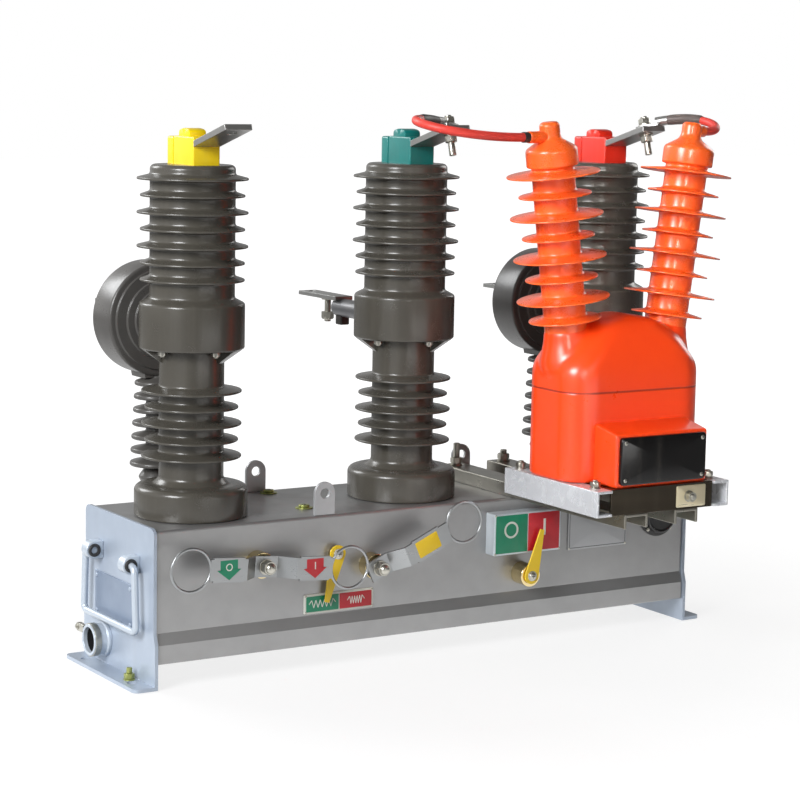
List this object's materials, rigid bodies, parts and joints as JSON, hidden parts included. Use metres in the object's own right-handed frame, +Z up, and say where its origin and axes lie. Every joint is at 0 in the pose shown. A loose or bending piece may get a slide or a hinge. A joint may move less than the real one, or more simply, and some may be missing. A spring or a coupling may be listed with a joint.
{
  "type": "outdoor vacuum circuit breaker",
  "caption": "Pole-mounted outdoor vacuum circuit breaker: shedded poles on a steel housing with ring current transformers, an orange voltage transformer, pull-ring levers and handles.",
  "frame": {"origin": "middle of the foot bolts, on the ground under the feet", "axes": "+X along the pole row towards the red phase, -Y the operating side with the levers, +Z up"},
  "size_m": [0.956, 0.647, 0.7678],
  "materials": {
    "housing_paint": "satin",
    "plate_paint": "satin",
    "pole_resin": "semi-gloss",
    "cap_yellow": "satin",
    "cap_green": "satin",
    "cap_red": "satin",
    "terminal_metal": "tinned",
    "sleeve_resin": "semi-gloss",
    "ct_resin": "satin",
    "vt_cover_black": "gloss",
    "vt_resin": "gloss",
    "arm_steel": "satin",
    "rail_steel": "galvanised",
    "lead_red_rubber": "satin",
    "lever_steel": "plated",
    "pointer_yellow": "satin",
    "boss_steel": "plated",
    "handle_paint": "satin",
    "label_plate": "satin",
    "lug_steel": "satin",
    "socket_black": "matte"
  },
  "bodies": {
    "breaker": {"housing": "housing_paint", "end_plate_left": "plate_paint", "end_plate_right": "plate_paint", "pole_a": "pole_resin", "pole_b": "pole_resin", "pole_c": "pole_resin", "cap_yellow": "cap_yellow", "cap_green": "cap_green", "cap_red": "cap_red", "upper_terminal_a": "terminal_metal", "upper_terminal_b": "terminal_metal", "upper_terminal_c": "terminal_metal", "outlet_sleeve_a": "sleeve_resin", "outlet_sleeve_b": "sleeve_resin", "outlet_sleeve_c": "sleeve_resin", "lower_terminal_a": "terminal_metal", "lower_terminal_b": "terminal_metal", "lower_terminal_c": "terminal_metal", "current_transformer_a": "ct_resin", "current_transformer_c": "ct_resin", "lifting_lugs": "lug_steel", "vt_body": "vt_resin", "vt_bushing_left": "vt_resin", "vt_bushing_right": "vt_resin", "vt_terminal_cover": "vt_cover_black", "vt_base_plate": "rail_steel", "vt_rail_left": "rail_steel", "vt_rail_right": "rail_steel", "vt_arm_left": "arm_steel", "vt_arm_right": "arm_steel", "lead_green": "lead_red_rubber", "lead_red": "lead_red_rubber", "shaft_bosses": "boss_steel", "handle_bosses": "handle_paint", "face_plates": "label_plate", "end_cover": "plate_paint", "control_socket": "socket_black", "cable_gland": "handle_paint"},
    "rocker": {"rocker_lever": "lever_steel"},
    "charging_arm": {"charging_lever": "lever_steel"},
    "position_indicator": {"position_pointer": "pointer_yellow"},
    "charge_indicator": {"charge_pointer": "pointer_yellow"},
    "carry_handle_left": {"left_handle": "handle_paint"},
    "carry_handle_right": {"right_handle": "handle_paint"}
  },
  "joints": [
    {"name": "rocker_pivot", "type": "hinge", "parent": "breaker", "child": "rocker", "pos_m": [-0.292, -0.105, 0.158], "axis": [0, 1, 0], "range_deg": [-24.4, 15.6]},
    {"name": "charging_pivot", "type": "hinge", "parent": "breaker", "child": "charging_arm", "pos_m": [-0.112, -0.105, 0.139], "axis": [0, 1, 0], "range_deg": [0, 58]},
    {"name": "position_pivot", "type": "hinge", "parent": "breaker", "child": "position_indicator", "pos_m": [0.145, -0.105, 0.103], "axis": [0, 1, 0], "range_deg": [-28, 0]},
    {"name": "charge_pivot", "type": "hinge", "parent": "breaker", "child": "charge_indicator", "pos_m": [-0.169, -0.105, 0.161], "axis": [0, 1, 0], "range_deg": [-28, 0]},
    {"name": "left_handle_pivot", "type": "hinge", "parent": "breaker", "child": "carry_handle_left", "pos_m": [-0.4615, 0, 0.163], "axis": [0, 1, 0], "range_deg": [0, 90]},
    {"name": "right_handle_pivot", "type": "hinge", "parent": "breaker", "child": "carry_handle_right", "pos_m": [0.4615, 0, 0.163], "axis": [0, -1, 0], "range_deg": [0, 90]}
  ]
}
